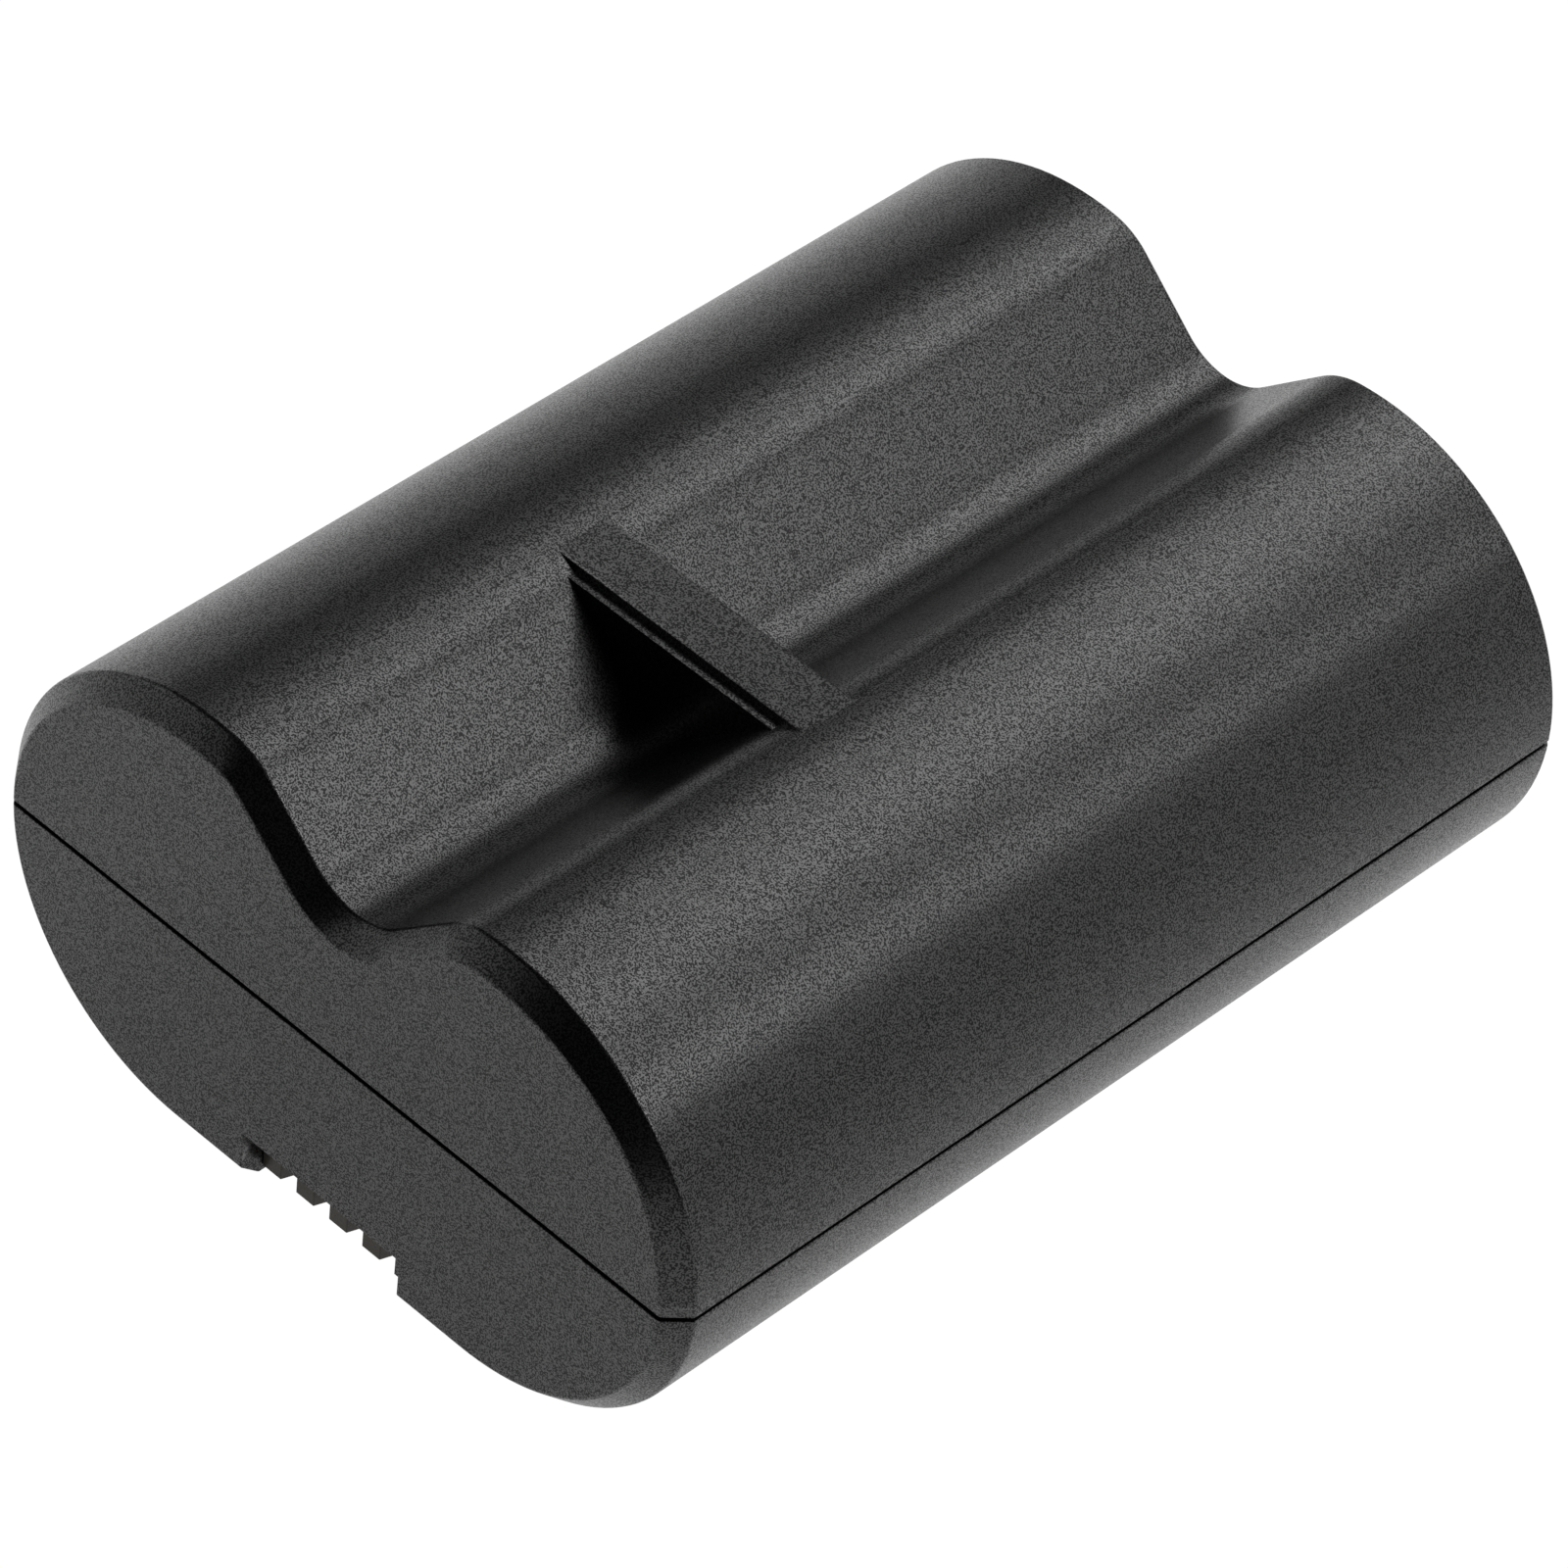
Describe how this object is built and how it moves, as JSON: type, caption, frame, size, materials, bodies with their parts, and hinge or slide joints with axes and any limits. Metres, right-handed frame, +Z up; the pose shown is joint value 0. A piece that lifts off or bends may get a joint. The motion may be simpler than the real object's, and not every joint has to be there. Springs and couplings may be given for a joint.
{
  "type": "flash battery",
  "caption": "Clip-in battery for a camera flash: round-sided case with a latch valley and stop web along its top and recessed contacts in a notch at one end.",
  "frame": {"origin": "middle of the flat underside", "axes": "+X across the case, +Y along the case from the contact end to the plain end, +Z up out of the valley"},
  "size_m": [0.043, 0.056, 0.0246],
  "materials": {
    "case_plastic": "fine spark-textured black moulded plastic",
    "contact_plastic": "smooth black moulded insulator",
    "gold_plate": "gold-plated copper alloy",
    "nickel": "rolled nickel strip",
    "board": "green solder mask over glass laminate",
    "chip_plastic": "moulded epoxy",
    "fuse_ceramic": "fired ceramic",
    "cell_sleeve": "shrunk blue sleeve over a steel can",
    "paper": "pressed insulating paper",
    "ring_paper": "pressed white paper",
    "foam": "closed-cell foam",
    "lead_sleeve": "yellow soft insulation",
    "sensor_epoxy": "dipped black epoxy"
  },
  "bodies": {
    "root": {"upper_shell": "case_plastic", "lower_shell": "case_plastic", "contact_block": "contact_plastic", "contact_negative": "gold_plate", "contact_sense": "gold_plate", "contact_data": "gold_plate", "contact_positive": "gold_plate", "protection_board": "board", "protection_chip": "chip_plastic", "power_switch_left": "chip_plastic", "power_switch_right": "chip_plastic", "board_fuse": "fuse_ceramic", "current_resistor": "chip_plastic", "board_insulator": "paper", "cell_left": "cell_sleeve", "cell_right": "cell_sleeve", "cell_ring_left": "ring_paper", "cell_ring_right": "ring_paper", "nickel_link": "nickel", "tab_negative": "nickel", "tab_positive": "nickel", "midpoint_lead": "lead_sleeve", "thermistor": "sensor_epoxy", "end_insulator": "paper", "foam_pads_left": "foam", "foam_pads_right": "foam"}
  },
  "joints": []
}
